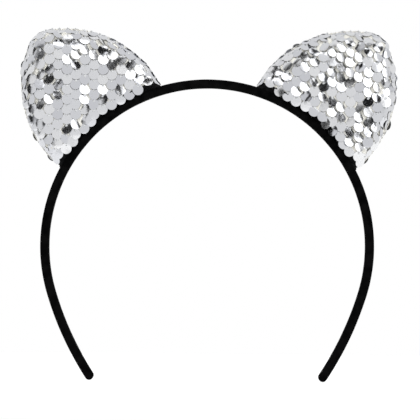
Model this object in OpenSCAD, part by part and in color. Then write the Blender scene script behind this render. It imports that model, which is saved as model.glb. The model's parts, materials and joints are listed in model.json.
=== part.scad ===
// Animal ears headband: a springy C-shaped band in a velvet sleeve, with two
// padded cat ears covered in hanging sequins.
// +X is to the right seen from the front, +Z is up, the front faces -Y.
// The origin is the centre of the circle that the band lies on round the head.
// Left and right are as seen from the front. Angles along the band are
// measured from the top of the head, down either side.

/* [Band] */
// Inner radius of the round part of the band
head_r = 72; // [60:0.5:85]
// Width of the band, front to back
band_w = 10; // [8:0.5:14]
// Thickness of the soft lining on the inside of the band
lining_t = 0.9; // [0.6:0.1:1.5]
// Thickness of the springy core strip
core_t = 2.2; // [1.6:0.1:3.2]
// Thickness of the velvet over the core's outer face
cover_t = 1.0; // [0.6:0.1:1.6]
// Thickness of the velvet round the core's front and back edges
cover_side_t = 1.4; // [1.2:0.1:1.8]
// Rounding of the sleeve's long edges
edge_r = 1.1; // [0.6:0.1:1.1]
// Angle from the top at which the arms begin to straighten, at the lower bend
flare_at = 107; // [104:1:112]
// Inner radius of the straighter lower stretch of each arm
flare_r = 146; // [110:2:220]
// Angle that the straighter stretch turns through
flare_turn = 16.1; // [8:0.1:22]
// Length of the velvet folded in past the core at each end of the band
fold_l = 3; // [2:0.5:6]

/* [Flexing] */
// Length of band left between each end of an ear's strip and the nearest bend
bend_room = 4; // [3:0.5:6]
// Clearance round the rounded end of each band piece, where it bends
bend_gap = 0.15; // [0.1:0.05:0.3]

/* [Ears] */
// Angle of each ear's centre line from the top of the head
ear_at = 39.5; // [38:0.5:42]
// Half the ear's width at its widest
ear_half_w = 31.6; // [27:0.2:32]
// Height of the widest level above the band
ear_belly = 3.9; // [2:0.1:10]
// Height of the ear's tip above the band
ear_h = 49; // [40:1:60]
// Radius of the rounded tip
ear_tip_r = 13; // [8:0.5:16]
// Thickness of the ear at the middle of its pad
ear_t = 13; // [11:0.5:16]
// Radius of the domed front and back of the ear
dome_r = 150; // [140:5:260]
// Height of the middle of the dome above the band
dome_up = 18.9; // [16:0.1:22]
// Thickness of the net cloth that carries the sequins
cloth_t = 0.5; // [0.3:0.1:0.8]
// Thickness of the seam tape round the edge of the ear
seam_t = 0.5; // [0.3:0.1:0.8]
// Width of the seam tape
seam_w = 2.6; // [1.6:0.1:3]
// Thickness of the black hem that closes the bottom of the ear
hem_t = 0.8; // [0.5:0.1:1.2]
// Room between the mounting strip and the ear, for tilting
tilt_gap = 1.4; // [1.4:0.1:2.5]

/* [Mounting strips] */
// Thickness of the felt strip between the band and the ear
strip_t = 0.9; // [0.6:0.1:1.2]
// Width of the felt strip
strip_w = 8; // [4:0.5:8]
// Angle that the strip runs past the ear at each end
strip_past = 0.6; // [0:0.1:1]
// Diameter of the black sewing thread
thread_d = 0.45; // [0.3:0.05:0.5]
// Length of one stitch
stitch_l = 2.6; // [1.5:0.1:3]
// Angle between neighbouring stitches
stitch_step = 3.4; // [2:0.1:6]

/* [Sequins] */
// Diameter of a sequin
sequin_d = 5; // [4:0.1:7]
// Thickness of a sequin
sequin_t = 0.12; // [0.08:0.01:0.15]
// Diameter of the thread hole
hole_d = 0.9; // [0.6:0.1:1.2]
// Distance from the thread hole's centre up to the sequin's edge
hole_in = 0.95; // [0.8:0.05:1.2]
// How far neighbouring columns overlap
column_lap = 0.95; // [0:0.05:0.95]
// How far each sequin covers the next one down its column
row_lap = 0.5; // [0:0.05:0.5]
// Angle that each sequin leans out at the bottom
sequin_lean = 6.5; // [6:0.5:10]
// Height of a sequin's centre above the cloth
sequin_lift = 0.42; // [0.4:0.01:0.6]
// Least distance of a sequin's centre from the ear's edge
sequin_in = 1.9; // [1.5:0.1:3]

/* [Hidden] */
$fn = 180;

// Colours
velvet = [0.03, 0.03, 0.035];
felt = [0.06, 0.06, 0.065];
plastic = [0.14, 0.14, 0.15];
wadding = [0.93, 0.93, 0.9];
net = [0.9, 0.89, 0.84];
silver = [0.8, 0.81, 0.83];

// Band
band_t = lining_t + core_t + cover_t;
core_w = band_w - 2 * cover_side_t;
band_out = head_r + band_t;
mid_r = head_r + band_t / 2;
channel_t = lining_t + core_t;
flare_end = flare_at + flare_turn;
core_end = flare_end - fold_l / flare_r * 180 / PI;
// A round end is a little fuller than the band, so that it meets it at an edge
knuckle_r = band_t / 2 + 0.1;
// Angle of band that takes in a whole round end
knuckle_turn = 3;
// How far a cut runs past what it cuts
past = 1;

// Ears, as heights from the centre of the head circle
strip_top = band_out + strip_t;
ear_bottom = strip_top + tilt_gap;
pad_bottom = ear_bottom + hem_t;
widest_v = band_out + ear_belly;
tip_v = band_out + ear_h - ear_tip_r;
dome_v = band_out + dome_up;
tip_rise = tip_v - widest_v;
ear_side_r = (pow(ear_half_w, 2) + pow(tip_rise, 2) - pow(ear_tip_r, 2))
    / (2 * (ear_half_w - ear_tip_r));
ear_side_u = ear_side_r - ear_half_w;
tip_join_v = tip_v + ear_tip_r * tip_rise / (ear_side_r - ear_tip_r);
dome_y = dome_r - ear_t / 2;
side_far = norm([ear_side_u, widest_v]);
// Angle from the ear's centre line to each end of its base
ear_reach = acos((pow(ear_bottom, 2) + pow(side_far, 2) - pow(ear_side_r, 2))
    / (2 * ear_bottom * side_far)) - atan(ear_side_u / widest_v);
strip_reach = ear_reach + strip_past;

// The upper bend is between the crown and the ear, the middle one below the ear
bend_room_turn = bend_room / mid_r * 180 / PI;
flex_top_at = ear_at - strip_reach - bend_room_turn;
flex_mid_at = ear_at + strip_reach + bend_room_turn;

// Sequins
sequin_r = sequin_d / 2;
column_step = sequin_d - column_lap;
row_step = sequin_d - row_lap;

// ---------- placing ----------

// Turns a part drawn upright at the top of the head to the ear's place
module at_ear() {
    rotate([0, ear_at, 0]) children();
}

module left_side() {
    mirror([1, 0, 0]) children();
}

// Sweeps a section round an axis along Y, between two angles from the top;
// the section's inner face lies at the radius given
module swept(radius, from, to) {
    rotate([90, 0, 0])
        rotate([0, 0, 90 - to])
            rotate_extrude(angle = to - from)
                translate([radius, 0]) children();
}

// ---------- sections of the band ----------

module rounded_section() {
    long = band_w / 2 - edge_r;
    translate([0, -long]) square([band_t, 2 * long]);
    translate([edge_r, -band_w / 2]) square([band_t - 2 * edge_r, band_w]);
    for (x = [edge_r, band_t - edge_r], y = [-long, long])
        translate([x, y]) circle(edge_r, $fn = 48);
}

module lining_section() {
    translate([0, -core_w / 2]) square([lining_t, core_w]);
}

module core_section() {
    translate([lining_t, -core_w / 2]) square([core_t, core_w]);
}

// The channel in the sleeve that the core and the lining fill
module channel_section() {
    translate([-past, -core_w / 2]) square([past + channel_t, core_w]);
}

module cover_section() {
    difference() {
        rounded_section();
        channel_section();
    }
}

// ---------- pieces of the band ----------

// A bend is a round end that turns in a round hollow, both about one axis at
// the middle of the band's thickness
module post(radius, angle, post_r) {
    middle = radius + band_t / 2;
    translate([middle * sin(angle), 0, middle * cos(angle)])
        rotate([90, 0, 0]) cylinder(r = post_r, h = band_w + 2 * past, center = true);
}

// What is cut off between two angles to leave a round end about the third
module waste(radius, from, to, round_at) {
    difference() {
        swept(radius, from, to)
            translate([-past, -band_w]) square([band_t + 2 * past, 2 * band_w]);
        post(radius, round_at, knuckle_r);
    }
}

module crown_piece() {
    difference() {
        swept(head_r, -flex_top_at, flex_top_at) children();
        post(head_r, flex_top_at, knuckle_r + bend_gap);
        post(head_r, -flex_top_at, knuckle_r + bend_gap);
    }
}

// Round at its upper end and hollow at its lower end
module side_piece(from, to) {
    difference() {
        swept(head_r, from - knuckle_turn, to) children();
        waste(head_r, from - 2 * knuckle_turn, from, from);
        post(head_r, to, knuckle_r + bend_gap);
    }
}

// The centre of the straighter stretch lies across the head's centre from the
// lower bend, so that the two curves run on smoothly
module at_flare() {
    across = head_r - flare_r;
    translate([across * sin(flare_at), 0, across * cos(flare_at)]) children();
}

module tip_piece(to) {
    at_flare() difference() {
        swept(flare_r, flare_at - knuckle_turn, to) children();
        waste(flare_r, flare_at - 2 * knuckle_turn, flare_at, flare_at);
    }
}

module crown_core() {
    color(plastic) crown_piece() core_section();
}

module crown_cover() {
    color(velvet) crown_piece() cover_section();
}

module crown_lining() {
    color(felt) crown_piece() lining_section();
}

module shoulder_core() {
    color(plastic) side_piece(flex_top_at, flex_mid_at) core_section();
}

module shoulder_cover() {
    color(velvet) side_piece(flex_top_at, flex_mid_at) cover_section();
}

module shoulder_lining() {
    color(felt) side_piece(flex_top_at, flex_mid_at) lining_section();
}

module arm_core() {
    color(plastic) side_piece(flex_mid_at, flare_at) core_section();
}

module arm_cover() {
    color(velvet) side_piece(flex_mid_at, flare_at) cover_section();
}

module arm_lining() {
    color(felt) side_piece(flex_mid_at, flare_at) lining_section();
}

module tip_core() {
    color(plastic) tip_piece(core_end) core_section();
}

module tip_cover() {
    color(velvet) difference() {
        tip_piece(flare_end + knuckle_turn) rounded_section();
        at_flare() {
            waste(flare_r, flare_end, flare_end + 2 * knuckle_turn, flare_end);
            swept(flare_r, flare_at - 2 * knuckle_turn, core_end) channel_section();
        }
    }
}

module tip_lining() {
    color(felt) tip_piece(core_end) lining_section();
}

// ---------- ears ----------

// Front view of the ear: two wide side arcs that run into a round tip, cut
// along the bottom by a circle about the head's centre
module ear_outline(grow, bottom) {
    difference() {
        union() {
            intersection() {
                for_both_sides(grow);
                translate([-ear_half_w, 0]) square([2 * ear_half_w, tip_join_v]);
            }
            translate([0, tip_v]) circle(ear_tip_r + grow);
        }
        circle(bottom);
    }
}

module for_both_sides(grow) {
    intersection() {
        translate([-ear_side_u, widest_v]) circle(ear_side_r + grow);
        translate([ear_side_u, widest_v]) circle(ear_side_r + grow);
    }
}

// A flat shape stood up facing the front, with the thickness given
module upright(thick) {
    rotate([90, 0, 0]) linear_extrude(height = thick, center = true) children();
}

// The lens between the ear's two domes, smaller by the depth given
module ear_lens(depth) {
    intersection() {
        translate([0, dome_y, dome_v]) sphere(dome_r - depth, $fn = 240);
        translate([0, -dome_y, dome_v]) sphere(dome_r - depth, $fn = 240);
    }
}

module ear_body(depth, bottom) {
    intersection() {
        upright(ear_t + 2 * past) ear_outline(-seam_t - depth, bottom);
        ear_lens(depth);
    }
}

module ear_padding() {
    color(wadding) at_ear() ear_body(cloth_t, pad_bottom);
}

module ear_cloth(front) {
    side = front ? -1 : 1;
    color(net) at_ear() difference() {
        ear_body(0, pad_bottom);
        ear_body(cloth_t, pad_bottom - past);
        translate([0, -side * ear_t, dome_v])
            cube([4 * ear_half_w, 2 * ear_t, 4 * ear_h], center = true);
    }
}

module ear_hem() {
    color(felt) at_ear() difference() {
        ear_body(0, ear_bottom);
        rotate([90, 0, 0]) difference() {
            cylinder(r = 2 * band_out, h = 2 * ear_t, center = true);
            cylinder(r = pad_bottom, h = 3 * ear_t, center = true);
        }
    }
}

module ear_seam() {
    color(net) at_ear() upright(seam_w) difference() {
        ear_outline(0, ear_bottom);
        ear_outline(-seam_t, ear_bottom - past);
    }
}

// ---------- what holds the ears ----------

module ear_strip() {
    color(felt) swept(band_out, ear_at - strip_reach, ear_at + strip_reach)
        translate([0, -strip_w / 2]) square([strip_t, strip_w]);
}

module ear_stitches() {
    count = floor(ear_reach / stitch_step);
    color(velvet) for (i = [-count : count])
        rotate([0, ear_at + i * stitch_step, 0])
            translate([0, 0, strip_top + thread_d / 2])
                rotate([90, 0, 0])
                    cylinder(d = thread_d, h = stitch_l, center = true, $fn = 16);
}

// ---------- sequins ----------

// Whether a point of the ear, across and up its centre line, takes a sequin
function on_ear(u, v) =
    norm([abs(u) + ear_side_u, v - widest_v]) < ear_side_r - sequin_in
    && (v < tip_join_v - sequin_in || norm([u, v - tip_v]) < ear_tip_r - sequin_in)
    && norm([u, v]) > ear_bottom + sequin_r;

module sequin() {
    difference() {
        cylinder(d = sequin_d, h = sequin_t, center = true, $fn = 48);
        translate([0, sequin_r - hole_in, 0])
            cylinder(d = hole_d, h = 3 * sequin_t, center = true, $fn = 16);
    }
}

// One sequin hung on the front dome, dx to the right of the dome's middle
// and dz above it, leaning out at the bottom
module hung_sequin(dx, dz) {
    reach = dome_r + sequin_lift;
    up = asin(dz / reach);
    aside = asin(dx / (reach * cos(up)));
    translate([dome_v * sin(ear_at), dome_y, dome_v * cos(ear_at)])
        rotate([-up, 0, aside])
            translate([0, -reach, 0])
                rotate([90 - sequin_lean, 0, 0]) sequin();
}

// Straight hanging columns, each set half a step from the next
module front_sequins() {
    columns = ceil(ear_h / column_step);
    rows = ceil(ear_h / row_step);
    color(silver) for (i = [-columns : columns], j = [-rows : rows]) {
        dx = i * column_step;
        dz = (j + (i % 2 == 0 ? 0 : 0.5)) * row_step;
        u = dx * cos(ear_at) - dz * sin(ear_at);
        v = dome_v + dx * sin(ear_at) + dz * cos(ear_at);
        if (on_ear(u, v)) hung_sequin(dx, dz);
    }
}

module back_sequins() {
    mirror([0, 1, 0]) front_sequins();
}

// ---------- nodes ----------

crown_core();
crown_cover();
crown_lining();

left_side() shoulder_core();  // left_shoulder_core
left_side() shoulder_cover();  // left_shoulder_cover
left_side() shoulder_lining();  // left_shoulder_lining
left_side() arm_core();  // left_arm_core
left_side() arm_cover();  // left_arm_cover
left_side() arm_lining();  // left_arm_lining
left_side() tip_core();  // left_tip_core
left_side() tip_cover();  // left_tip_cover
left_side() tip_lining();  // left_tip_lining

shoulder_core();  // right_shoulder_core
shoulder_cover();  // right_shoulder_cover
shoulder_lining();  // right_shoulder_lining
arm_core();  // right_arm_core
arm_cover();  // right_arm_cover
arm_lining();  // right_arm_lining
tip_core();  // right_tip_core
tip_cover();  // right_tip_cover
tip_lining();  // right_tip_lining

left_side() ear_strip();  // left_ear_strip
left_side() ear_stitches();  // left_ear_stitches
left_side() ear_hem();  // left_ear_hem
left_side() ear_padding();  // left_ear_padding
left_side() ear_cloth(true);  // left_ear_front_cloth
left_side() ear_cloth(false);  // left_ear_back_cloth
left_side() ear_seam();  // left_ear_seam
left_side() front_sequins();  // left_ear_front_sequins
left_side() back_sequins();  // left_ear_back_sequins

ear_strip();  // right_ear_strip
ear_stitches();  // right_ear_stitches
ear_hem();  // right_ear_hem
ear_padding();  // right_ear_padding
ear_cloth(true);  // right_ear_front_cloth
ear_cloth(false);  // right_ear_back_cloth
ear_seam();  // right_ear_seam
front_sequins();  // right_ear_front_sequins
back_sequins();  // right_ear_back_sequins
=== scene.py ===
"""The looks of the animal ears headband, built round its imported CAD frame.

Metres. +X is to the right seen from the front, +Z is up, and the front faces -Y.
The origin is the centre of the circle that the band lies on. Angles along the
band are measured from the top of the head, down either side.
"""

import json
import math
import random

import bmesh
import bpy
import numpy as np
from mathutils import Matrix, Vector, noise
from mathutils.bvhtree import BVHTree
from mathutils.geometry import barycentric_transform


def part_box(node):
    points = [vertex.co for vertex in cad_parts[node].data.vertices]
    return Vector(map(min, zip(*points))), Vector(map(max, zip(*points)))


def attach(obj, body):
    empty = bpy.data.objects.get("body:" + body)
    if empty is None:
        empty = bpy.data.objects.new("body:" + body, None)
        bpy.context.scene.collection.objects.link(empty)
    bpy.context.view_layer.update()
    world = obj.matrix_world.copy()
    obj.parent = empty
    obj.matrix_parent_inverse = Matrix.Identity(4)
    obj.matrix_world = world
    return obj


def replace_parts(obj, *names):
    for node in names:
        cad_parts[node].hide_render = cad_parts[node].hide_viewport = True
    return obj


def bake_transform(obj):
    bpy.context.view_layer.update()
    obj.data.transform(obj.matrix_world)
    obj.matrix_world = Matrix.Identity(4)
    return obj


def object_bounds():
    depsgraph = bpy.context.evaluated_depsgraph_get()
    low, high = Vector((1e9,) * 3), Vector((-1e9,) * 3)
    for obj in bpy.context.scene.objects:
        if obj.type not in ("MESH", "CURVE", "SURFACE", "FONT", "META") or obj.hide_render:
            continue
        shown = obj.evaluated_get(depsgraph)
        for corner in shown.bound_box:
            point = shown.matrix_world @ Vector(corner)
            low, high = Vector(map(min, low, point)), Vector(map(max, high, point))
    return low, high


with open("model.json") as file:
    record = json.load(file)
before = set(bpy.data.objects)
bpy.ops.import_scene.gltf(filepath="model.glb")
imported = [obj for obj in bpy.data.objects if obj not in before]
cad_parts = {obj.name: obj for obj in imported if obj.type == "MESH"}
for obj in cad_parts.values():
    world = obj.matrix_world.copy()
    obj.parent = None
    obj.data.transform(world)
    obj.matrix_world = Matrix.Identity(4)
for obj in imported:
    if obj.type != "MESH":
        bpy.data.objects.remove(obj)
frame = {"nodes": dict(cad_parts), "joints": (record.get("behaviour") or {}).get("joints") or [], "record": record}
cad_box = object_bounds()

MM = 0.001
SIDES = {"left": -1, "right": 1}

# ---------- sizes read from the frame ----------

JOINTS = {joint["name"]: joint for joint in frame["joints"]}


def angle_of(joint_name):
    """The angle from the top of the head at which a joint on the right side lies."""
    x, _, z = JOINTS[joint_name]["pos_m"]
    return math.atan2(x, z)


def depth_of(node):
    """How far a CAD node reaches front to back."""
    low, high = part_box(node)
    return high.y - low.y


HEAD_R = frame["record"]["mounts"][0]["dims"]["r_mm"] * MM
BAND_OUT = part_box("crown_cover")[1].z
BAND_T = BAND_OUT - HEAD_R
BAND_W = depth_of("crown_cover")
LINING_W = depth_of("crown_lining")
LINING_T = 0.9 * MM
CORE_T = 2.2 * MM
# How round the band's edges are
BAND_EDGE_R = 1.1 * MM
MID_R = HEAD_R + BAND_T / 2
FLEX_TOP = angle_of("right_flex_top")
FLEX_MID = angle_of("right_flex_mid")
FLARE_AT = angle_of("right_flex_low")
EAR_AT = angle_of("right_ear_tilt")

# The straighter stretch below the lower bend
FLARE_R = 146 * MM
FLARE_TURN = math.radians(16.1)
FLARE_END = FLARE_AT + FLARE_TURN

# The stuffed cloth's outline lies this far inside the ear's, for the sequins round its edge
RIM_IN = 1.45 * MM
EAR_HALF_W = 31.6 * MM - RIM_IN
EAR_TIP_R = 13 * MM - RIM_IN
# Heights up the ear's centre line, from the centre of the head circle
WIDEST_V = BAND_OUT + 3.9 * MM
MIDDLE_V = BAND_OUT + 18.9 * MM
TIP_V = BAND_OUT + 36 * MM
STRIP_T = 0.9 * MM
STRIP_TOP = BAND_OUT + STRIP_T
PAD_LOW = BAND_OUT + 2.1 * MM
TIP_RISE = TIP_V - WIDEST_V
# Each side of the ear is an arc of this radius, centred this far past the centre line
SIDE_R = (EAR_HALF_W ** 2 + TIP_RISE ** 2 - EAR_TIP_R ** 2) / (2 * (EAR_HALF_W - EAR_TIP_R))
SIDE_U = SIDE_R - EAR_HALF_W
# How far from the band's middle the ear's foot reaches at the front and back
FOOT_Y = 4.2 * MM


def reach_at(v_radius):
    """The angle from the ear's centre line at which its side meets a circle about the head."""
    far = math.hypot(SIDE_U, WIDEST_V)
    cosine = (v_radius ** 2 + far ** 2 - SIDE_R ** 2) / (2 * v_radius * far)
    return math.acos(cosine) - math.atan(SIDE_U / WIDEST_V)


# ---------- mesh helpers ----------

def new_object(name, vertices, faces, material, smooth_angle=40):
    mesh = bpy.data.meshes.new(name)
    mesh.from_pydata([tuple(v) for v in vertices], [], faces)
    mesh.validate()
    outward = bmesh.new()
    outward.from_mesh(mesh)
    bmesh.ops.recalc_face_normals(outward, faces=outward.faces)
    outward.to_mesh(mesh)
    outward.free()
    mesh.shade_smooth()
    mesh.set_sharp_from_angle(angle=math.radians(smooth_angle))
    mesh.materials.append(material)
    obj = bpy.data.objects.new(name, mesh)
    bpy.context.scene.collection.objects.link(obj)
    return obj


class Soup:
    """Collects vertices and faces of one mesh, with one number for each face."""

    def __init__(self):
        self.vertices, self.faces, self.values = [], [], []

    def add(self, vertices, faces, value=0.0):
        start = len(self.vertices)
        self.vertices.extend(vertices)
        self.faces.extend([tuple(i + start for i in face) for face in faces])
        self.values.extend([value] * len(faces))

    def build(self, name, material, smooth_angle=40):
        obj = new_object(name, self.vertices, self.faces, material, smooth_angle)
        shade = obj.data.attributes.new("shade", "FLOAT", "FACE")
        shade.data.foreach_set("value", np.array(self.values, np.float32))
        return obj


def loft(rings):
    """Faces between rings of points that each close on themselves, with a cap at both ends."""
    count = len(rings[0])
    vertices = [point for ring in rings for point in ring]
    faces = []
    for i in range(len(rings) - 1):
        for k in range(count):
            k2 = (k + 1) % count
            faces.append((i * count + k, i * count + k2, (i + 1) * count + k2, (i + 1) * count + k))
    last = (len(rings) - 1) * count
    faces.append(tuple(reversed(range(count))))
    faces.append(tuple(last + k for k in range(count)))
    return vertices, faces


def path_length(points):
    return sum(math.dist(a, b) for a, b in zip(points, points[1:]))


def lofted(name, rings, flipped, material, smooth_angle):
    """A piece lofted through rings, which are turned the other way round if flipped."""
    if flipped:
        rings = [ring[::-1] for ring in rings]
    return new_object(name, *loft(rings), material, smooth_angle)


def tube(points, radius):
    """A thin round thread along points."""
    sides = 6
    rings = []
    for i, point in enumerate(points):
        ahead = points[min(i + 1, len(points) - 1)] - points[max(i - 1, 0)]
        along = ahead.normalized()
        other = Vector((0, 1, 0)) if abs(along.y) < 0.9 else Vector((1, 0, 0))
        across = along.cross(other).normalized()
        up = across.cross(along)
        rings.append([
            point + radius * (math.cos(a) * across + math.sin(a) * up)
            for a in (2 * math.pi * k / sides for k in range(sides))
        ])
    return loft(rings)


# ---------- materials ----------

def add_node(tree, kind, *inputs, **settings):
    """A node. Its inputs, by place or by name, take a value or another node's output. Any
    other name is a property of the node."""
    made = tree.nodes.new(kind)
    given = dict(enumerate(inputs))
    for key, value in settings.items():
        if hasattr(made, key):
            setattr(made, key, value)
        else:
            given[key.replace("_", " ")] = value
    for key, value in given.items():
        if isinstance(value, bpy.types.NodeSocket):
            tree.links.new(value, made.inputs[key])
        else:
            made.inputs[key].default_value = value
    return made


def ramp_of(tree, source, stops):
    """Colours along a value, as (position, colour) stops."""
    ramp = add_node(tree, "ShaderNodeValToRGB", source)
    elements = ramp.color_ramp.elements
    while len(elements) < len(stops):
        elements.new(0.5)
    for element, (position, colour) in zip(elements, stops):
        element.position = position
        element.color = (*colour, 1)
    return ramp.outputs["Color"]


class Shader:
    """A node material with a Principled shader, and the few nodes that the surfaces here need."""

    def __init__(self, name, **inputs):
        self.material = bpy.data.materials.new(name)
        self.material.use_nodes = True
        self.tree = self.material.node_tree
        self.inputs = self.tree.nodes["Principled BSDF"].inputs
        for key, value in inputs.items():
            self.inputs[key.replace("_", " ")].default_value = value

    def node(self, kind, *inputs, **settings):
        return add_node(self.tree, kind, *inputs, **settings)

    def place(self):
        return self.node("ShaderNodeTexCoord").outputs["Object"]

    def noise(self, scale, detail=2.0, roughness=0.5):
        made = self.node("ShaderNodeTexNoise", self.place(), Scale=scale, Detail=detail,
                         Roughness=roughness)
        return made.outputs["Fac"]

    def wave(self, place, scale, distortion, direction):
        made = self.node("ShaderNodeTexWave", place, Scale=scale, Distortion=distortion,
                         bands_direction=direction)
        return made.outputs["Fac"]

    def spread(self, source, low, high):
        """A value from 0 to 1, carried to another range."""
        return self.node("ShaderNodeMapRange", source, To_Min=low, To_Max=high).outputs["Result"]

    def math(self, operation, a, b):
        return self.node("ShaderNodeMath", a, b, operation=operation).outputs[0]

    def feed(self, name, source):
        """Gives an input of the Principled shader its source."""
        self.tree.links.new(source, self.inputs[name])

    def colours(self, source, stops):
        """Base colours along a value."""
        self.feed("Base Color", ramp_of(self.tree, source, stops))

    def bump(self, height, distance, strength):
        """Adds a bump over those there are."""
        under = self.inputs["Normal"]
        made = self.node("ShaderNodeBump", Distance=distance, Strength=strength, Height=height)
        if under.is_linked:
            self.tree.links.new(under.links[0].from_socket, made.inputs["Normal"])
        self.feed("Normal", made.outputs["Normal"])


def velvet_material():
    """Short black pile: a painted sheen in patches where the pile lies differently, and a grain of single tufts.
    """
    s = Shader("black_velvet", Roughness=0.95, Sheen_Weight=0.02, Sheen_Roughness=0.4,
               Specular_IOR_Level=0.02)
    # painted sheen: the base colour is a little lighter in patches, where lying pile would catch the light
    stops = [(0.35, (0.0010, 0.0010, 0.0011)), (0.65, (0.0032, 0.0031, 0.0032))]
    s.colours(s.noise(260, 3), stops)
    s.bump(s.noise(1400, 2), 0.00012, 0.5)
    s.bump(s.noise(5200, 1), 0.00006, 0.7)
    return s.material


def felt_material(name, low, high):
    """Matted black fibres."""
    s = Shader(name, Roughness=0.97, Sheen_Weight=0.02, Sheen_Roughness=0.6,
               Specular_IOR_Level=0.05)
    fibres = s.noise(2600, 4, 0.7)
    s.colours(fibres, [(0.35, (low, low, low * 1.05)), (0.7, (high, high, high * 1.05))])
    s.bump(fibres, 0.00015, 0.7)
    return s.material


def thread_material(name, colour, shine):
    """Twisted thread, with the plies as a fine slanting wave."""
    s = Shader(name, Roughness=0.55, Specular_IOR_Level=shine)
    plies = s.wave(s.place(), 1400, 1.5, "DIAGONAL")
    dark = tuple(0.7 * c for c in colour)
    s.colours(plies, [(0.2, dark), (0.8, colour)])
    s.bump(plies, 0.00005, 0.6)
    return s.material


def net_material():
    """Cream knitted cloth: a diamond mesh of fine loops."""
    s = Shader("net_cloth", Roughness=0.85, Sheen_Weight=0.25, Specular_IOR_Level=0.25)
    waves = []
    for direction, turn in (("X", 0.7), ("Z", -0.7)):
        turned = s.node("ShaderNodeMapping", s.place(), Rotation=(0, turn, 0))
        waves.append(s.wave(turned.outputs["Vector"], 420, 0.6, direction))
    knit = s.math("MAXIMUM", *waves)
    s.colours(knit, [(0.3, (0.42, 0.41, 0.37)), (0.75, (0.72, 0.71, 0.66))])
    s.bump(knit, 0.00012, 0.8)
    return s.material


def wadding_material():
    """White polyester wadding."""
    s = Shader("wadding", Roughness=0.95, Sheen_Weight=0.3)
    fluff = s.noise(900, 5, 0.7)
    s.colours(fluff, [(0.3, (0.72, 0.72, 0.7)), (0.7, (0.9, 0.9, 0.88))])
    s.bump(fluff, 0.0006, 0.8)
    return s.material


def plastic_material():
    """Moulded dark plastic with faint drag marks."""
    s = Shader("core_plastic", Roughness=0.42)
    s.colours(s.noise(500, 3), [(0.3, (0.035, 0.035, 0.04)), (0.7, (0.055, 0.055, 0.06))])
    s.bump(s.noise(1800, 2), 0.00004, 0.4)
    return s.material


def sequin_material():
    """Silver metallised film: each disc has its own shade, with rolling marks and fine scratches."""
    s = Shader("silver_sequin", Metallic=1.0)
    shade = s.node("ShaderNodeAttribute", attribute_name="shade").outputs["Fac"]
    stops = [(0.0, (0.60, 0.61, 0.64)), (0.5, (0.70, 0.71, 0.73)), (1.0, (0.78, 0.785, 0.79))]
    s.colours(shade, stops)
    satin = s.spread(s.noise(700, 3), -0.03, 0.05)
    s.feed("Roughness", s.math("ADD", s.spread(shade, 0.07, 0.16), satin))
    s.bump(s.noise(420, 2), 0.00022, 0.14)
    s.bump(s.noise(6000, 2), 0.00001, 0.5)
    return s.material


def clear_thread_material():
    """The clear thread that knots each sequin on."""
    s = Shader("clear_thread", Roughness=0.3, Specular_IOR_Level=0.6)
    cloudy = s.noise(1500, 2)
    s.colours(cloudy, [(0.3, (0.40, 0.41, 0.42)), (0.7, (0.58, 0.59, 0.59))])
    s.bump(cloudy, 0.00005, 0.5)
    return s.material


VELVET = velvet_material()
LINING = felt_material("lining_felt", 0.002, 0.009)
FELT = felt_material("strip_felt", 0.002, 0.010)
BLACK_THREAD = thread_material("black_thread", (0.004, 0.004, 0.0045), 0.06)
NET = net_material()
SEAM_THREAD = thread_material("seam_thread", (0.62, 0.61, 0.57), 0.4)
WADDING = wadding_material()
PLASTIC = plastic_material()
SILVER = sequin_material()
CLEAR_THREAD = clear_thread_material()

# ---------- camera, light and floor ----------

# The width seen at the headband, from far in front, a little off its middle and rolled a little
VIEW_WIDTH = 191.6 * MM
CAMERA_FAR = 3.0
CAMERA_X = 1.15 * MM
CAMERA_Z = 16.6 * MM
CAMERA_ROLL = -0.55
SENSOR = 36.0


def make_camera():
    data = bpy.data.cameras.new("camera")
    data.sensor_width = SENSOR
    data.lens = SENSOR * CAMERA_FAR / VIEW_WIDTH
    data.clip_start = 0.01
    data.clip_end = 50
    camera = bpy.data.objects.new("camera", data)
    camera.location = (CAMERA_X, -CAMERA_FAR, CAMERA_Z)
    camera.rotation_euler = (math.radians(90), math.radians(CAMERA_ROLL), 0)
    bpy.context.scene.collection.objects.link(camera)
    bpy.context.scene.camera = camera


# How big the studio's panels are, as cells to a unit of direction
PANEL_SCALE = 3.6
# How bright they are, by share: dark gaps, plain panels, lamps
STUDIO_SHADES = [(0.41, 0.02), (0.44, 0.82), (0.84, 0.92), (0.87, 2.3)]
# How much more of them are lamps, and how much fewer are gaps, towards the right
RIGHT_BRIGHTER = 0.25
# The wall straight in front, within this cosine, and the whole back of the studio are plain
FRONT_WALL_COSINE = 0.84
BACK_WALL_COSINE = -0.10
WALL_BLUR = 0.02
WALL_LEVEL = 0.9


def studio_white(level):
    return level, level, level * 1.01


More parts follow.
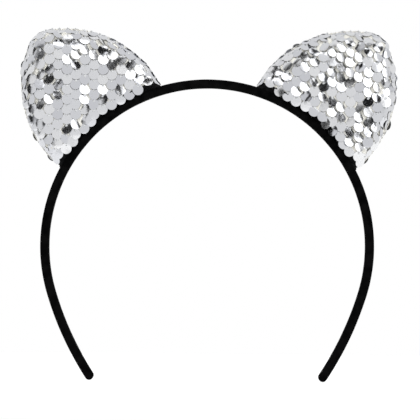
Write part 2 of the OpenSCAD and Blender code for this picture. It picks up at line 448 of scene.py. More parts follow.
def make_world():
    """Panels, gaps and lamps that are seen only in reflections: the camera sees plain white."""
    world = bpy.data.worlds.new("studio")
    bpy.context.scene.world = world
    world.use_nodes = True
    tree = world.node_tree
    tree.nodes.clear()

    def add(kind, *inputs, **settings):
        return add_node(tree, kind, *inputs, **settings)

    def wall(low, high):
        """0 to 1 across a wall's edge, by the Y of a direction."""
        return add("ShaderNodeMapRange", apart.outputs["Y"], low, high).outputs["Result"]

    direction = add("ShaderNodeTexCoord").outputs["Generated"]
    apart = add("ShaderNodeSeparateXYZ", direction)
    panels = add("ShaderNodeTexVoronoi", direction, Scale=PANEL_SCALE)
    chance = add("ShaderNodeSeparateColor", panels.outputs["Color"])
    brighter = add("ShaderNodeMath", apart.outputs["X"], RIGHT_BRIGHTER, chance.outputs["Red"],
                   operation="MULTIPLY_ADD")
    shades = [(position, studio_white(level)) for position, level in STUDIO_SHADES]
    lit = ramp_of(tree, brighter.outputs[0], shades)
    front = wall(WALL_BLUR - FRONT_WALL_COSINE, -WALL_BLUR - FRONT_WALL_COSINE)
    back = wall(BACK_WALL_COSINE - WALL_BLUR, BACK_WALL_COSINE + WALL_BLUR)
    plain_share = add("ShaderNodeMath", front, back, operation="MAXIMUM").outputs[0]
    walls = add("ShaderNodeMix", data_type="RGBA", Factor=plain_share, A=lit,
                B=(*studio_white(WALL_LEVEL), 1))
    studio = add("ShaderNodeBackground", walls.outputs["Result"])
    white = add("ShaderNodeBackground", (1, 1, 1, 1))
    seen = add("ShaderNodeLightPath").outputs["Is Camera Ray"]
    mix = add("ShaderNodeMixShader", seen, studio.outputs[0], white.outputs[0])
    add("ShaderNodeOutputWorld", mix.outputs[0])


def make_light(name, place, size, power):
    data = bpy.data.lights.new(name, "AREA")
    data.shape = "RECTANGLE"
    data.size, data.size_y = size
    data.energy = power
    light = bpy.data.objects.new(name, data)
    light.location = place
    light.visible_glossy = False
    light.rotation_euler = (-Vector(place)).to_track_quat("-Z", "Y").to_euler()
    bpy.context.scene.collection.objects.link(light)


def make_floor():
    """A plain round floor just under the tips. It gives off some light, to stay pale without
    dazzling the sequins above it."""
    radius = 0.55
    height = cad_box[0][2] - 0.1 * MM
    sides = 96
    turns = [2 * math.pi * k / sides for k in range(sides)]
    points = [(radius * math.cos(a), radius * math.sin(a), height) for a in turns]
    s = Shader("floor", Roughness=0.9, Base_Color=(0.3, 0.3, 0.3, 1),
               Emission_Color=(1, 1, 1, 1), Emission_Strength=0.75)
    floor = new_object("floor", points, [tuple(range(sides))], s.material)


def make_studio():
    scene = bpy.context.scene
    scene.view_settings.view_transform = "Standard"
    make_camera()
    make_world()
    make_light("key", (-0.7, -1.3, 1.2), (0.9, 0.9), 14)
    make_light("fill", (1.1, -1.2, 0.5), (0.8, 0.8), 5)
    make_light("back", (0.2, 1.4, 1.0), (1.0, 0.7), 8)
    make_floor()


# ---------- the band ----------

def band_place(side, angle, depth):
    """A point of the band: at an angle from the top, down one side, and a depth out from its
    inner face. The lower stretch turns about a centre of its own."""
    if angle <= FLARE_AT:
        cx, cz, r = 0.0, 0.0, HEAD_R + depth
    else:
        across = HEAD_R - FLARE_R
        cx, cz, r = across * math.sin(FLARE_AT), across * math.cos(FLARE_AT), FLARE_R + depth
    return Vector((side * (cx + r * math.sin(angle)), 0, cz + r * math.cos(angle)))


def band_out_dir(side, angle):
    return Vector((side * math.sin(angle), 0, math.cos(angle)))


def sleeve_profile():
    """The velvet's cross-section as (radius, y) points: round the outside, then back along the
    channel that holds the core and the lining."""
    edge = BAND_EDGE_R
    half = BAND_W / 2
    points = []

    def arc(cx, cy, start):
        steps = 7
        for i in range(steps + 1):
            a = math.radians(start - 90 * i / steps)
            points.append((cx + edge * math.cos(a), cy + edge * math.sin(a)))

    # outside, from the back lip round to the front lip
    arc(edge, half - edge, 180)
    flat = 6
    for i in range(1, flat):
        points.append((edge + (BAND_T - 2 * edge) * i / flat, half))
    arc(BAND_T - edge, half - edge, 90)
    wide = 12
    for i in range(1, wide):
        points.append((BAND_T, (half - edge) * (1 - 2 * i / wide)))
    arc(BAND_T - edge, edge - half, 0)
    for i in range(1, flat):
        points.append((BAND_T - edge - (BAND_T - 2 * edge) * i / flat, -half))
    arc(edge, edge - half, -90)
    # back inside the channel
    mouth = LINING_W / 2
    lip = 0.25 * MM
    deep = LINING_T + CORE_T
    return points + [(lip, -mouth), (deep, -mouth), (deep, 0.0), (deep, mouth), (lip, mouth)]


def nap(point, strength):
    """Slight unevenness of the cloth over what lies under it."""
    wide = noise.noise(point * 90)
    fine = noise.noise(point * 420 + Vector((7, 3, 1)))
    return strength * (0.7 * wide + 0.3 * fine)


def bend_radius(angle):
    return MID_R if angle < FLARE_AT else FLARE_R


def ring_angles(start, end, end_round):
    """Angles of a stretch's rings, which are closer together at a rounded end."""
    found, a = [], start
    while a < end - 1e-9:
        found.append(a)
        near_end = end_round and (end - a) * bend_radius(a) < 1.1 * end_round
        a += (0.12 if near_end else 0.75) * MM / bend_radius(a)
    return found + [end]


def band_rings(side, start, end, profile, swell, end_round=0.0):
    """Rings of one stretch of the band, from one angle to another. Within end_round of the
    end the section closes to a rounded tip."""
    rings = []
    for a in ring_angles(start, end, end_round):
        shrink = 1.0
        narrow = 0.0
        left = (end - a) * bend_radius(a)
        if end_round and left < end_round:
            t = 1 - left / end_round
            shrink = max(0.03, math.sqrt(max(0.0, 1 - t * t)))
            narrow = 1.2 * MM * (1 - math.sqrt(max(0.0, 1 - t ** 2.5)))
        out = band_out_dir(side, a)
        ring = []
        for depth, y in profile:
            from_middle = depth - BAND_T / 2
            point = band_place(side, a, BAND_T / 2 + from_middle * shrink)
            point.y = y * (1 - narrow / (BAND_W / 2))
            away = (out * from_middle * 2 + Vector((0, y, 0))).normalized()
            ring.append(point + away * nap(point, swell))
        rings.append(ring)
    return rings


def stretches(side):
    """Each stretch of cloth down one side: its name, where it starts and ends, the two bodies
    it bends between, and where."""
    shoulder, arm, tip = (f"{side}_{name}" for name in ("shoulder", "arm", "tip"))
    split = (FLEX_MID + FLARE_AT) / 2
    return [
        ("upper", 0.0, EAR_AT, "crown", shoulder, FLEX_TOP),
        ("middle", EAR_AT, split, shoulder, arm, FLEX_MID),
        ("lower", split, FLARE_END, arm, tip, FLARE_AT),
    ]


def across_joint(obj):
    """Bakes a piece's placement into its mesh."""
    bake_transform(obj)


def make_sleeve(side, part, start, end, a, b, bend):
    s = SIDES[side]
    end_round = BAND_T / 2 if part == "lower" else 0
    end += end_round / FLARE_R
    section = sleeve_profile()
    rings = band_rings(s, start, end, section, 0.07 * MM, end_round)
    sleeve = lofted(f"{side}_{part}_sleeve", rings, s > 0, VELVET, 50)
    across_joint(sleeve)
    return sleeve


def lining_profile():
    """A ribbon with soft edges, a little domed towards the head."""
    half = LINING_W / 2 - 0.05 * MM
    gap = 0.02 * MM
    steps = 10
    ys = [half * (1 - 2 * i / steps) for i in range(steps + 1)]
    inner = [(gap + 0.12 * MM * (y / half) ** 4, y) for y in ys]
    return inner + [(LINING_T - gap, -y) for y in ys]


def make_lining(side, part, start, end, a, b, bend):
    if part == "lower":
        end -= 3 * MM / FLARE_R
    s = SIDES[side]
    rings = band_rings(s, start, end, lining_profile(), 0.03 * MM)
    lining = lofted(f"{side}_{part}_ribbon", rings, s > 0, LINING, 50)
    across_joint(lining)
    return lining


def make_band():
    for side in SIDES:
        for stretch in stretches(side):
            sleeve = make_sleeve(side, *stretch)
            ribbon = make_lining(side, *stretch)
            above, below = stretch[3:5]
            for obj, kind in ((sleeve, "cover"), (ribbon, "lining")):
                names = [f"{below}_{kind}"]
                if above == "crown" and side == "right":
                    names.append(f"crown_{kind}")
                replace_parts(obj, *names)
    for name, node in frame["nodes"].items():
        if name.endswith("_core"):
            node.data.materials.clear()
            node.data.materials.append(PLASTIC)


# ---------- the ears' outline ----------

def ear_to_world(side, u, y, v):
    """A point of an ear, from across it, front to back, and up its centre line."""
    x = u * math.cos(EAR_AT) + v * math.sin(EAR_AT)
    z = -u * math.sin(EAR_AT) + v * math.cos(EAR_AT)
    return Vector((side * x, y, z))


def on_arc(side, radius, angle, y):
    """A point of an ear, at a radius from the head's centre and an angle from the ear's
    centre line."""
    return ear_to_world(side, radius * math.sin(angle), y, radius * math.cos(angle))


def rim_distance(u, v):
    """How far inside the ear's sides and tip a point lies."""
    side = SIDE_R - math.hypot(abs(u) + SIDE_U, v - WIDEST_V)
    if v > TIP_V and (v - TIP_V) >= TIP_RISE / SIDE_U * abs(u):
        return EAR_TIP_R - math.hypot(u, v - TIP_V)
    return side


# The tip's own edge of the grid spans this much either side of the centre line
TOP_HALF = math.radians(32)


def side_outline(share):
    """A point of the ear's right side, from the base's corner to near the top of the tip."""
    reach = reach_at(PAD_LOW)
    start = math.atan2(PAD_LOW * math.cos(reach) - WIDEST_V, PAD_LOW * math.sin(reach) + SIDE_U)
    join = math.atan2(TIP_RISE, SIDE_U)
    long_side = SIDE_R * (join - start)
    long_tip = EAR_TIP_R * (math.pi / 2 - TOP_HALF - join)
    far = (long_side + long_tip) * share
    if far <= long_side:
        a = start + far / SIDE_R
        return SIDE_R * math.cos(a) - SIDE_U, WIDEST_V + SIDE_R * math.sin(a)
    a = join + (far - long_side) / EAR_TIP_R
    return EAR_TIP_R * math.cos(a), TIP_V + EAR_TIP_R * math.sin(a)


ROWS = 40
COLUMNS = 44
# The grid's faces, and the points of its edge: along the base, up, over the tip and down
QUADS = [((i, j), (i, j + 1), (i + 1, j + 1), (i + 1, j)) for i in range(ROWS) for j in range(COLUMNS)]
EDGE = ([(0, j) for j in range(COLUMNS)] + [(i, COLUMNS) for i in range(ROWS)]
        + [(ROWS, j) for j in range(COLUMNS, 0, -1)] + [(i, 0) for i in range(ROWS, 0, -1)])


def eased(t):
    """0 to 1, finely stepped at both ends, where the cloth turns round the edge."""
    return (1 - math.cos(math.pi * t)) / 2


def eased_end(t):
    """0 to 1, finely stepped at the far end only."""
    return math.sin(math.pi / 2 * t) * 0.6 + t * 0.4


def ear_grid():
    """A grid of (u, v) points that fills the ear: the base's arc, the two sides and the tip's
    arc are its four edges."""
    ups = [eased_end(i / ROWS) for i in range(ROWS + 1)]
    overs = [eased(j / COLUMNS) for j in range(COLUMNS + 1)]
    right = np.array([side_outline(b) for b in ups])
    left = right * (-1, 1)
    reach = reach_at(PAD_LOW)
    turns = [(reach * (2 * a - 1), TOP_HALF * (2 * a - 1)) for a in overs]
    base = np.array([(PAD_LOW * math.sin(w), PAD_LOW * math.cos(w)) for w, _ in turns])
    top = np.array([(EAR_TIP_R * math.sin(w), TIP_V + EAR_TIP_R * math.cos(w)) for _, w in turns])
    grid = np.zeros((ROWS + 1, COLUMNS + 1, 2))
    for i, b in enumerate(ups):
        for j, a in enumerate(overs):
            edges = (1 - b) * base[j] + b * top[j] + (1 - a) * left[i] + a * right[i]
            corners = ((1 - b) * ((1 - a) * base[0] + a * base[-1])
                       + b * ((1 - a) * top[0] + a * top[-1]))
            grid[i, j] = edges - corners
    return grid


# ---------- the stuffed pouch ----------

# How far in from the seam the stuffing rounds the ear off, and how thick it is inside that
PUFF_IN = 11 * MM
PUFF_Y = 6.2 * MM


def puff(inside):
    """Half the stuffed ear's thickness at a distance in from the seam."""
    share = max(0.0, min(1.0, inside / PUFF_IN))
    return PUFF_Y * math.sqrt(1 - (1 - share) ** 2)


def half_thickness(u, v):
    return puff(rim_distance(u, v))


class Pouch:
    """The ear's outer skin: front and back grids that share the seam, closed along the base.
    Faces wind outward on both ears."""

    def __init__(self, side):
        self.side = side
        self.grid = ear_grid()
        self.vertices = []
        self.front, self.back = {}, {}
        for i in range(ROWS + 1):
            for j in range(COLUMNS + 1):
                self.add_point(i, j)
        self.faces = []
        for quad in QUADS:
            self.add_face([self.front[key] for key in quad])
            self.add_face([self.back[key] for key in reversed(quad)])
        self.walls = len(self.faces)
        for j in range(COLUMNS):
            strip = [self.back[0, j], self.back[0, j + 1], self.front[0, j + 1], self.front[0, j]]
            self.add_face(list(dict.fromkeys(strip)))

    def add_point(self, i, j):
        u, v = self.grid[i, j]
        rim = j in (0, COLUMNS) or i == ROWS
        thick = 0.0 if rim else half_thickness(u, v)
        self.front[i, j] = len(self.vertices)
        self.vertices.append(ear_to_world(self.side, u, -thick, v))
        self.back[i, j] = self.front[i, j] if rim else len(self.vertices)
        if not rim:
            self.vertices.append(ear_to_world(self.side, u, thick, v))

    def add_face(self, numbers):
        self.faces.append(tuple(numbers if self.side > 0 else numbers[::-1]))

    def edge_numbers(self):
        """The seam and the base, which the stuffing doesn't move."""
        return {grid[key] for grid in (self.front, self.back) for key in EDGE}

    def normals(self):
        """Outward directions, smooth over the front, the back and the seam."""
        found = [Vector((0, 0, 0)) for _ in self.vertices]
        for face in self.faces[:self.walls]:
            a, b, c, d = (self.vertices[k] for k in face)
            normal = (c - a).cross(d - b)
            for k in face:
                found[k] += normal
        return [n.normalized() for n in found]


SIM_SCALE = 20.0
SIM_STEPS = 20
# The stuffing moves no point of the cloth further than this
STUFFING_CAP = 0.8 * MM


def stuff(pouch):
    """Blows the pouch out with a short cloth simulation, the seam and the base held. It runs
    at a larger size, where the solver is at its best."""
    mesh = bpy.data.meshes.new("pouch")
    mesh.from_pydata([tuple(v * SIM_SCALE) for v in pouch.vertices], [], pouch.faces)
    obj = bpy.data.objects.new("pouch", mesh)
    bpy.context.scene.collection.objects.link(obj)
    held = obj.vertex_groups.new(name="held")
    held.add(sorted(pouch.edge_numbers()), 1.0, "REPLACE")
    cloth = obj.modifiers.new("cloth", "CLOTH")
    settings = cloth.settings
    stuffed = {"quality": 8, "mass": 0.3, "tension_stiffness": 15, "compression_stiffness": 15,
               "shear_stiffness": 5, "bending_stiffness": 0.5, "use_pressure": True,
               "uniform_pressure_force": 4.0, "shrink_min": -0.04, "vertex_group_mass": "held"}
    for key, value in stuffed.items():
        setattr(settings, key, value)
    settings.effector_weights.gravity = 0
    cloth.collision_settings.use_collision = False
    cloth.point_cache.frame_end = SIM_STEPS
    scene = bpy.context.scene
    for step in range(1, SIM_STEPS + 1):
        scene.frame_set(step)
    graph = bpy.context.evaluated_depsgraph_get()
    blown = [v.co / SIM_SCALE for v in obj.evaluated_get(graph).to_mesh().vertices]
    for k, after in enumerate(blown):
        shift = Vector(after) - pouch.vertices[k]
        if shift.length > STUFFING_CAP:
            shift *= STUFFING_CAP / shift.length
        pouch.vertices[k] = pouch.vertices[k] + shift
    bpy.data.objects.remove(obj)
    scene.frame_set(1)


# ---------- the cloth's flat pattern ----------

def turn_table():
    """Rows of (distance along the cloth from the seam, distance in seen from the front): the
    cloth turns round the edge, so its outer few millimetres show narrowed."""
    steps = 300
    inside = [PUFF_IN * k / steps for k in range(steps + 1)]
    table = [(0.0, 0.0)]
    for d0, d1 in zip(inside, inside[1:]):
        table.append((table[-1][0] + math.hypot(d1 - d0, puff(d1) - puff(d0)), d1))
    return np.array(table)


TURN_TABLE = turn_table()
# How much wider the flat cloth is than the ear, all round
TURN_IN = TURN_TABLE[-1][0] - PUFF_IN


def rim_inward(u, v):
    """Unit direction straight in from the nearest part of the rim."""
    step = 0.05 * MM
    du = rim_distance(u + step, v) - rim_distance(u - step, v)
    dv = rim_distance(u, v + step) - rim_distance(u, v - step)
    size = math.hypot(du, dv) or 1.0
    return du / size, dv / size


def drawn_in(u, v, by):
    """A point moved straight in from the rim."""
    du, dv = rim_inward(u, v)
    return u + du * by, v + dv * by


def to_pattern(u, v):
    """Where a point seen from the front lies on the flat cloth."""
    inside = rim_distance(u, v)
    if inside >= PUFF_IN:
        return u, v
    along = float(np.interp(inside, TURN_TABLE[:, 1], TURN_TABLE[:, 0]))
    return drawn_in(u, v, along - TURN_IN - inside)


class Cloth:
    """One face of a pouch, as cut: asked where a point of the flat cloth is on the ear."""

    def __init__(self, pouch, numbers):
        self.pouch = pouch
        self.flat = {key: Vector((*to_pattern(*pouch.grid[key]), 0)) for key in numbers}
        self.triangles = []
        for a, b, c, d in QUADS:
            self.triangles += [(a, b, c), (a, c, d)]
        self.keys = sorted(numbers)
        self.index = {key: k for k, key in enumerate(self.keys)}
        self.tree = BVHTree.FromPolygons([self.flat[key] for key in self.keys],
                                         [[self.index[key] for key in t] for t in self.triangles])
        self.numbers = numbers
        self.directions = pouch.normals()

    def on_ear(self, u, v):
        """The place and the outward direction of a point of the flat cloth, or None."""
        spot, _, number, _ = self.tree.ray_cast(Vector((u, v, 1)), Vector((0, 0, -1)))
        if spot is None:
            return None
        flat = [self.flat[key] for key in self.triangles[number]]
        corners = [self.numbers[key] for key in self.triangles[number]]
        place = barycentric_transform(spot, *flat, *(self.pouch.vertices[k] for k in corners))
        direction = barycentric_transform(spot, *flat, *(self.directions[k] for k in corners))
        return place, direction.normalized()

    def cut_size(self):
        """Width, height and area of the flat cloth."""
        points = self.flat.values()
        width = max(p.x for p in points) - min(p.x for p in points)
        height = max(p.y for p in points) - min(p.y for p in points)
        area = sum(((self.flat[b] - self.flat[a]).cross(self.flat[c] - self.flat[a])).length / 2
                   for a, b, c in self.triangles)
        return width, height, area


# ---------- sequins ----------

SEQUIN_R = 2.5 * MM
SEQUIN_T = 0.12 * MM
HOLE_R = 0.45 * MM
HOLE_IN = 0.95 * MM
COLUMN_STEP = 4.05 * MM
ROW_STEP = 4.5 * MM
# From the hole's centre down to the sequin's
DROP = SEQUIN_R - HOLE_IN
SEQUIN_SIDES = 24
SEQUIN_RINGS = 4
LIFT = 0.25 * MM
# How far a sequin follows the curve of the cloth under it, at the seam and where it hangs free
WRAP_AT_SEAM = 0.9
WRAP_FREE = 0.3


def sequin_mesh(rng, wrap):
    """One sequin about its thread hole, flat in X and Z with its face to -Y, cupped and bent a
    little in its own way, and wrapped by a curvature across its width and one down its height."""
    cup = rng.gauss(0.05, 0.07) * MM
    bend = rng.gauss(0.0, 0.06) * MM
    bend_angle = rng.uniform(0, math.pi)
    middle = -DROP
    vertices, faces = [], []
    for face in (-1, 1):
        for k in range(SEQUIN_RINGS + 1):
            t = k / SEQUIN_RINGS
            radius = HOLE_R + (SEQUIN_R - HOLE_R) * t
            for i in range(SEQUIN_SIDES):
                a = 2 * math.pi * i / SEQUIN_SIDES
                x, z = radius * math.sin(a), radius * math.cos(a) + middle * t
                across, up = x / SEQUIN_R, (z - middle) / SEQUIN_R
                turned = across * math.cos(bend_angle) + up * math.sin(bend_angle)
                y = cup * (across ** 2 + up ** 2) + bend * turned * abs(turned)
                y += (wrap[0] * x * x + wrap[1] * (z - middle) ** 2 - wrap[1] * middle ** 2) / 2
                vertices.append(Vector((x, y + face * SEQUIN_T / 2, z)))
    n, rim = SEQUIN_SIDES, SEQUIN_SIDES * SEQUIN_RINGS
    layer = rim + n
    for i in range(n):
        i2 = (i + 1) % n
        for k in range(0, rim, n):
            quad = (k + i, k + i2, k + n + i2, k + n + i)
            faces.append(quad)
            faces.append(tuple(layer + corner for corner in reversed(quad)))
        faces.append((i, i2, layer + i2, layer + i))
        faces.append((layer + rim + i, layer + rim + i2, rim + i2, rim + i))
    return vertices, faces


def knot_mesh(rng):
    """The clear thread through one sequin's hole, up over its edge into the cloth."""
    high = HOLE_IN + 0.25 * MM
    bow = 0.28 * MM
    wobble = rng.uniform(-0.12, 0.12) * MM
    points = [
        Vector((0, 0.35 * MM, -0.05 * MM)),
        Vector((0, -0.12 * MM, 0.0)),
        Vector((wobble / 2, -bow, 0.3 * MM)),
        Vector((wobble, -bow * 0.8, 0.75 * MM)),
        Vector((wobble, 0.0, high)),
        Vector((wobble, 0.45 * MM, high + 0.1 * MM)),
    ]
    return tube(points, rng.uniform(0.13, 0.19) * MM)


def blob_mesh(rng):
    """A bead of thread and size at the hole."""
    rings = []
    wide = rng.uniform(0.5, 0.72) * MM
    for k in range(5):
        polar = math.radians(8 + 82 * k / 4)
        rings.append([
            Vector((wide * math.sin(polar) * math.sin(a), -0.5 * wide * math.cos(polar) - 0.05 * MM,
                    wide * math.sin(polar) * math.cos(a)))
            for a in (2 * math.pi * i / 10 for i in range(10))
        ])
    rings.append([Vector((p.x * 0.8, 0.3 * MM, p.z * 0.8)) for p in rings[-1]])
    return loft(rings)


def hang(vertices, anchor, normal, lean, yaw, roll):
    """Puts a piece made about its hole onto the cloth: upright, facing along the normal, then
    leant out at the bottom, yawed and rolled."""
    up = Vector((0, 0, 1))
    up = (up - normal * up.dot(normal)).normalized()
    side = (-normal).cross(up).normalized()
    cl, sl = math.cos(lean), math.sin(lean)
    cy, sy = math.cos(yaw), math.sin(yaw)
    cr, sr = math.cos(roll), math.sin(roll)
    placed = []
    for p in vertices:
        x, y, z = p
        x, z = x * cr - z * sr, x * sr + z * cr
        x, y = x * cy - y * sy, x * sy + y * cy
        y, z = y * cl + z * sl, -y * sl + z * cl
        placed.append(anchor + side * x + up * z - normal * y)
    return placed


# The share of sequins that hang out of line, and the share of those that turn to the right
DISORDER = {"left": 0.46, "right": 0.64}
TURNED_RIGHT = {"left": 0.45, "right": 0.75}
# No two holes are closer than this
LEAST_SPACING = 2.2 * MM
# A sequin whose centre would lie this far past the seam is still on the cloth, but is drawn
# in with the cloth's edge until its centre is the second distance inside the seam
CAUGHT_PAST_SEAM = 1.9 * MM
CENTRE_FROM_SEAM = 1.6 * MM
# Least distance of a sequin's centre from the head's centre: where the ear is full it hangs
# past the band's edge, and near the ends, where the ear thins, it stays above the strip
LOWEST_CENTRE = BAND_OUT + 1.7 * MM
LOWEST_AT_ENDS = BAND_OUT + 4.1 * MM
CLEARS_BAND = BAND_W / 2 + 1.1 * MM
# A sequin whose centre is lower than that by less than this is drawn up to it
LOW_DRAWN_UP = 2.2 * MM
# Least distance of a hole from the cloth's edge, and how far one is drawn up to it
HOLE_FROM_EDGE = 0.3 * MM
HOLE_DRAWN_UP = 1.5 * MM


def raised(u, v, by):
    """A point moved away from the head's centre."""
    grown = 1 + by / math.hypot(u, v)
    return u * grown, v * grown


def hole_place(u, v):
    """Where on the flat cloth a sequin's hole lies, for a point of the lattice of centres, or
    None where the cloth has no sequin."""
    far = math.hypot(u, v)
    base = half_thickness(u * PAD_LOW / far, v * PAD_LOW / far)
    thin = max(0.0, min(1.0, (CLEARS_BAND - base) / (0.8 * MM)))
    low = LOWEST_CENTRE + (LOWEST_AT_ENDS - LOWEST_CENTRE) * thin - far
    if low > LOW_DRAWN_UP:
        return None
    if low > 0:
        u, v = raised(u, v, low)
    inside = rim_distance(u, v) + TURN_IN
    if inside < -CAUGHT_PAST_SEAM:
        return None
    if inside < CENTRE_FROM_SEAM:
        u, v = drawn_in(u, v, CENTRE_FROM_SEAM - inside)
    u -= DROP * math.sin(EAR_AT)
    v += DROP * math.cos(EAR_AT)
    # the hole itself has to be on the cloth
    over = HOLE_FROM_EDGE - (rim_distance(u, v) + TURN_IN)
    if over > 0:
        u, v = drawn_in(u, v, over)
    low = PAD_LOW + HOLE_FROM_EDGE - math.hypot(u, v)
    if low > HOLE_DRAWN_UP:
        return None
    return raised(u, v, low) if low > 0 else (u, v)


def facing_at(cloth, point):
    """The way that the cloth faces at a point of it, or past the seam, where it has turned
    sideways. None below the base."""
    found = cloth.on_ear(*point)
    if found:
        return found[1]
    if rim_distance(*point) + TURN_IN > 0:
        return None
    du, dv = rim_inward(*point)
    return ear_to_world(cloth.pouch.side, -du, 0, -dv)


def lie_on(cloth, hole):
    """How a sequin hung at a point of the flat cloth lies: the hole's place, the way that the
    disc faces, and how much it wraps round the cloth under it, across and down. None off the
    cloth."""
    found = cloth.on_ear(*hole)
    if found is None:
        return None
    place, facing = found
    across = Vector((math.cos(EAR_AT), math.sin(EAR_AT)))
    down = Vector((math.sin(EAR_AT), -math.cos(EAR_AT)))
    middle = Vector(hole) + down * DROP
    reach = 0.7 * SEQUIN_R
    total = facing * 0.5
    wrap = []
    for way in (across, down):
        ends = [facing_at(cloth, middle + way * reach * sign) for sign in (-1, 1)]
        for end in ends:
            if end:
                total += end
        bent = ends[0].angle(ends[1]) / (2 * reach) if all(ends) else 0.0
        wrap.append(min(bent, 1 / SEQUIN_R))
    return place, total.normalized(), wrap


def make_sequins(side, front, cloth):
    """All the sequins of one face of an ear, and the thread knots that hold them."""
    rng = random.Random(f"{side} {front}")
    face = "front" if front < 0 else "back"
    discs, knots = Soup(), Soup()
    holes = []
    turn_x, turn_z = math.sin(EAR_AT), math.cos(EAR_AT)
    reach = 46 * MM
    columns = int(reach / COLUMN_STEP) + 1
    rows = int(reach / ROW_STEP) + 1
    for i in range(-columns, columns + 1):
        for j in range(rows, -rows - 1, -1):
            x = MIDDLE_V * turn_x + i * COLUMN_STEP
            z = MIDDLE_V * turn_z + (j + (0.5 if i % 2 else 0.0)) * ROW_STEP
            u = x * turn_z - z * turn_x
            v = x * turn_x + z * turn_z
            hole = hole_place(u, v)
            found = lie_on(cloth, hole) if hole else None
            if found is None or any(math.dist(hole, other) < LEAST_SPACING for other in holes):
                continue
            holes.append(hole)
            hit, normal, wrap = found
            # the nearer the seam, the flatter it lies
            loose = max(0.0, min(1.0, (abs(normal.y) - 0.35) / 0.45))
            lean = math.radians(rng.gauss(7.5, 1.6)) * (0.25 + 0.75 * loose)
            yaw = math.radians(rng.gauss(0, 2.0))
            roll = math.radians(rng.gauss(0, 5))
            if rng.random() < DISORDER[side] * loose:
                lean += math.radians(rng.uniform(0, 14))
                turn = 1 if rng.random() < TURNED_RIGHT[side] else -1
                yaw += math.radians(turn * rng.uniform(12, 24))
            anchor = hit + normal * (LIFT * (0.4 + 0.6 * loose) + rng.uniform(0, 0.08) * MM)
            share = WRAP_AT_SEAM + (WRAP_FREE - WRAP_AT_SEAM) * loose
            body, faces = sequin_mesh(rng, [share * bent for bent in wrap])
            discs.add(hang(body, anchor, normal, lean, yaw, roll), faces, rng.random())
            for maker in (knot_mesh, blob_mesh):
                body, faces = maker(rng)
                knots.add(hang(body, anchor, normal, 0, 0, roll), faces, rng.random())
    sequins = discs.build(f"{side}_ear_{face}_sequins_hung", SILVER)
    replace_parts(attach(sequins, f"{side}_ear"), f"{side}_ear_{face}_sequins")
    threads = knots.build(f"{side}_ear_{face}_sequin_threads", CLEAR_THREAD, 60)
    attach(threads, f"{side}_ear")
    return sequins, threads


# ---------- the ears ----------

CLOTH_T = 0.4 * MM


def make_net(side, face, cloth):
    """One face's net cloth: the skin of that face, with its thickness inward."""
    index = cloth.index
    numbers = [cloth.numbers[key] for key in cloth.keys]
    outer = [cloth.pouch.vertices[k] for k in numbers]
    inner = [point - cloth.directions[k] * CLOTH_T for point, k in zip(outer, numbers)]
    count = len(outer)
    faces = []
    for keys in QUADS:
        quad = tuple(index[key] for key in keys)
        faces.append(quad)
        faces.append(tuple(k + count for k in reversed(quad)))
    for a, b in zip(EDGE, EDGE[1:] + EDGE[:1]):
        faces.append((index[b], index[a], index[a] + count, index[b] + count))
    if (face == "front") != (cloth.pouch.side > 0):
        faces = [quad[::-1] for quad in faces]
    net = new_object(f"{side}_ear_{face}_net", outer + inner, faces, NET, 60)
    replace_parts(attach(net, f"{side}_ear"), f"{side}_ear_{face}_cloth")
    return net


# How much higher the wadding's lower edge is at the front and back, so that the ear can tilt
PADDING_ROUND = 1.8 * MM


def rounded_below(point):
    """Lifts a point of the wadding's base off the band, the more the nearer the cloth."""
    least = PAD_LOW + PADDING_ROUND * (point.y / PUFF_Y) ** 2
    far = math.hypot(point.x, point.z)
    if far >= least:
        return point
    return Vector((point.x * least / far, point.y, point.z * least / far))


def make_padding(side, pouch):
    inside = [rounded_below(point - direction * (CLOTH_T + 0.2 * MM))
              for point, direction in zip(pouch.vertices, pouch.normals())]
    padding = new_object(f"{side}_ear_wadding", inside, pouch.faces, WADDING, 60)
    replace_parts(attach(padding, f"{side}_ear"), f"{side}_ear_padding")
    return padding


def seam_line(pouch):
    """Points of the seam, from one base corner over the tip to the other."""
    seam = EDGE[COLUMNS:] + EDGE[:1]
    return [pouch.vertices[pouch.front[key]] for key in reversed(seam)]


# How far inside the seam line the middle of its ridge and of its stitches lies
SEAM_IN = 0.25 * MM


def seam_arc(side, point, along, out_r, side_r, angles, drift):
    """Points round the seam at one point of it. drift gives each angle its shift along the
    seam and sideways."""
    out = Vector((-along.z, 0, along.x))
    if out.dot(point - ear_to_world(side, 0, 0, MIDDLE_V)) < 0:
        out = -out
    found = []
    for a in angles:
        forward, sideways = drift(a)
        found.append(point + out * (out_r * math.cos(a) - SEAM_IN)
                     + Vector((0, side_r * math.sin(a) + sideways, 0)) + along * forward)
    return found


def make_seam(side, pouch):
    """The overcast seam round the ear: a low ridge with slanting stitches over it."""
    s = SIDES[side]
    line = seam_line(pouch)
    circle = [2 * math.pi * i / 10 for i in range(10)]
    rings = []
    for k, point in enumerate(line):
        along = (line[min(k + 1, len(line) - 1)] - line[max(k - 1, 0)]).normalized()
        wave = 0.12 * MM * math.sin(k * 2.1)
        rings.append(seam_arc(s, point, along, 0.42 * MM, 0.85 * MM, circle, lambda a: (0, wave)))
    seam = lofted(f"{side}_ear_seam_ridge", rings, False, NET, 60)
    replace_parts(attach(seam, f"{side}_ear"), f"{side}_ear_seam")
    stitches = Soup()
    half_way = [math.radians(a) for a in range(-100, 101, 20)]
    slant = 0.5 * MM / half_way[-1]
    total = path_length(line)
    step = 2.1 * MM
    walked, target = 0.0, step / 2
    for a, b in zip(line, line[1:]):
        length = (b - a).length
        while target < walked + length and target < total:
            point = a.lerp(b, (target - walked) / length)
            loop = seam_arc(s, point, (b - a).normalized(), 0.5 * MM, 1.0 * MM, half_way,
                            lambda angle: (slant * angle, 0))
            stitches.add(*tube(loop, 0.11 * MM))
            target += step
        walked += length
    overcast = stitches.build(f"{side}_ear_seam_stitches", SEAM_THREAD, 60)
    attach(overcast, f"{side}_ear")


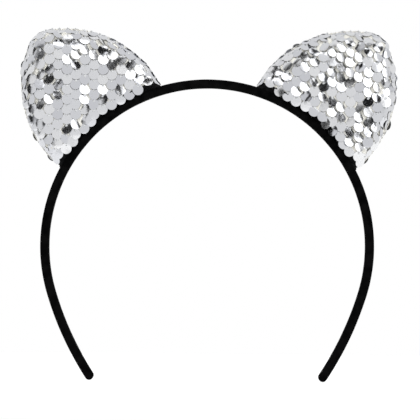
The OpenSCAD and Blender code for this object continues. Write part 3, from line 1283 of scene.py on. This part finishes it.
def hem_half_width(angle):
    """Half the hem's width at an angle from the ear's centre line along its base."""
    return half_thickness(PAD_LOW * math.sin(angle), PAD_LOW * math.cos(angle)) + 0.3 * MM


GORES = 5


def hem_section(angle):
    """(radius, y) points of the hem: from its front foot on the strip up to its upper edge at
    the front, and down the back."""
    half = hem_half_width(angle)
    foot = min(half, FOOT_Y)
    front = [
        (STRIP_TOP - 0.15 * MM, foot * 0.95),
        (STRIP_TOP + 0.2 * MM, foot),
        (STRIP_TOP + 0.8 * MM, (foot + half) / 2),
        (STRIP_TOP + 1.4 * MM, half * 0.97),
        (PAD_LOW, half),
        (PAD_LOW + 0.5 * MM, half + 0.05 * MM),
        (PAD_LOW + 0.65 * MM, half - 0.15 * MM),
        (PAD_LOW + 0.5 * MM, half - 0.4 * MM),
    ]
    return [(radius, -y) for radius, y in front] + front[::-1]


def felt_ring(s, section, angle, rough):
    """A section of felt placed at an angle of an ear's foot, with its surface uneven."""
    places = [on_arc(s, radius, angle, y) for radius, y in section]
    return [place + Vector((0, nap(place, rough) if place.y else 0, 0)) for place in places]


def make_hem(side):
    """The black cloth that closes the ear's base, in gores."""
    s = SIDES[side]
    reach = reach_at(PAD_LOW)
    lap = math.radians(0.25)
    steps = 12
    for g in range(GORES):
        start = reach * (2 * g / GORES - 1) - (lap if g else 0)
        end = reach * (2 * (g + 1) / GORES - 1)
        angles = [start + (end - start) * k / steps for k in range(steps + 1)]
        rings = [felt_ring(s, hem_section(angle), angle, 0.12 * MM) for angle in angles]
        gore = lofted(f"{side}_ear_hem_{g + 1}", rings, s < 0, FELT, 60)
        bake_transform(gore)
        if g == 0:
            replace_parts(gore, f"{side}_ear_hem")


def make_strip(side):
    """The felt strip on the band, with soft cut edges, thinner and narrower at its ends."""
    s = SIDES[side]
    half = depth_of(f"{side}_ear_strip") / 2
    reach = reach_at(STRIP_TOP + 1.4 * MM) + math.radians(0.6)
    low = BAND_OUT - 0.15 * MM
    rings = []
    steps = 60
    for k in range(steps + 1):
        t = 2 * k / steps - 1
        thin = min(1.0, (1 - abs(t)) * 40 + 0.35)
        top = BAND_OUT + STRIP_T * thin
        wide = half * (1 - 0.25 * (1 - min(1.0, (1 - abs(t)) * 16 + 0.3)))
        soft = 0.3 * MM * thin
        back = [(top, wide - soft), (top - soft * 0.3, wide - soft * 0.3), (top - soft, wide), (low, wide)]
        section = [(radius, -y) for radius, y in back[::-1]] + [(top, 0)] + back
        rings.append(felt_ring(s, section, reach * t, 0.15 * MM))
    strip = lofted(f"{side}_ear_felt_strip", rings, s < 0, FELT, 50)
    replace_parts(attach(strip, f"{side}_shoulder"), f"{side}_ear_strip")


def make_base_stitches(side):
    """Black whip stitches between the strip and the ear's hem, along the front and the back."""
    s = SIDES[side]
    rng = random.Random(f"{side} base")
    stitches = Soup()
    reach = reach_at(PAD_LOW) - math.radians(2)
    count = 17
    slant = math.radians(0.55)
    for face in (-1, 1):
        for k in range(count):
            angle = reach * (2 * k / (count - 1) - 1)
            foot = min(hem_half_width(angle), FOOT_Y)
            points = []
            for t in (0, 0.25, 0.5, 0.75, 1):
                radius = BAND_OUT + (0.25 + 1.0 * t) * MM
                beside = max(foot, 4.0 * MM * (1 - t) + foot * t)
                y = face * (beside + (0.12 + 0.2 * math.sin(math.pi * t)) * MM)
                a = angle + slant * (t - 0.5) + math.radians(rng.uniform(-0.05, 0.05))
                points.append(on_arc(s, radius, a, y))
            stitches.add(*tube(points, 0.2 * MM))
    obj = stitches.build(f"{side}_ear_base_stitches", BLACK_THREAD, 60)
    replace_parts(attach(obj, f"{side}_shoulder"), f"{side}_ear_stitches")


def make_ear(side):
    pouch = Pouch(SIDES[side])
    stuff(pouch)
    padding = make_padding(side, pouch)
    make_seam(side, pouch)
    make_hem(side)
    make_strip(side)
    make_base_stitches(side)
    for face, numbers, way in (("front", pouch.front, -1), ("back", pouch.back, 1)):
        cloth = Cloth(pouch, numbers)
        net = make_net(side, face, cloth)
        width, height, area = cloth.cut_size()
        on_it = make_sequins(side, way, cloth)


make_studio()
make_band()
for ear_side in SIDES:
    make_ear(ear_side)
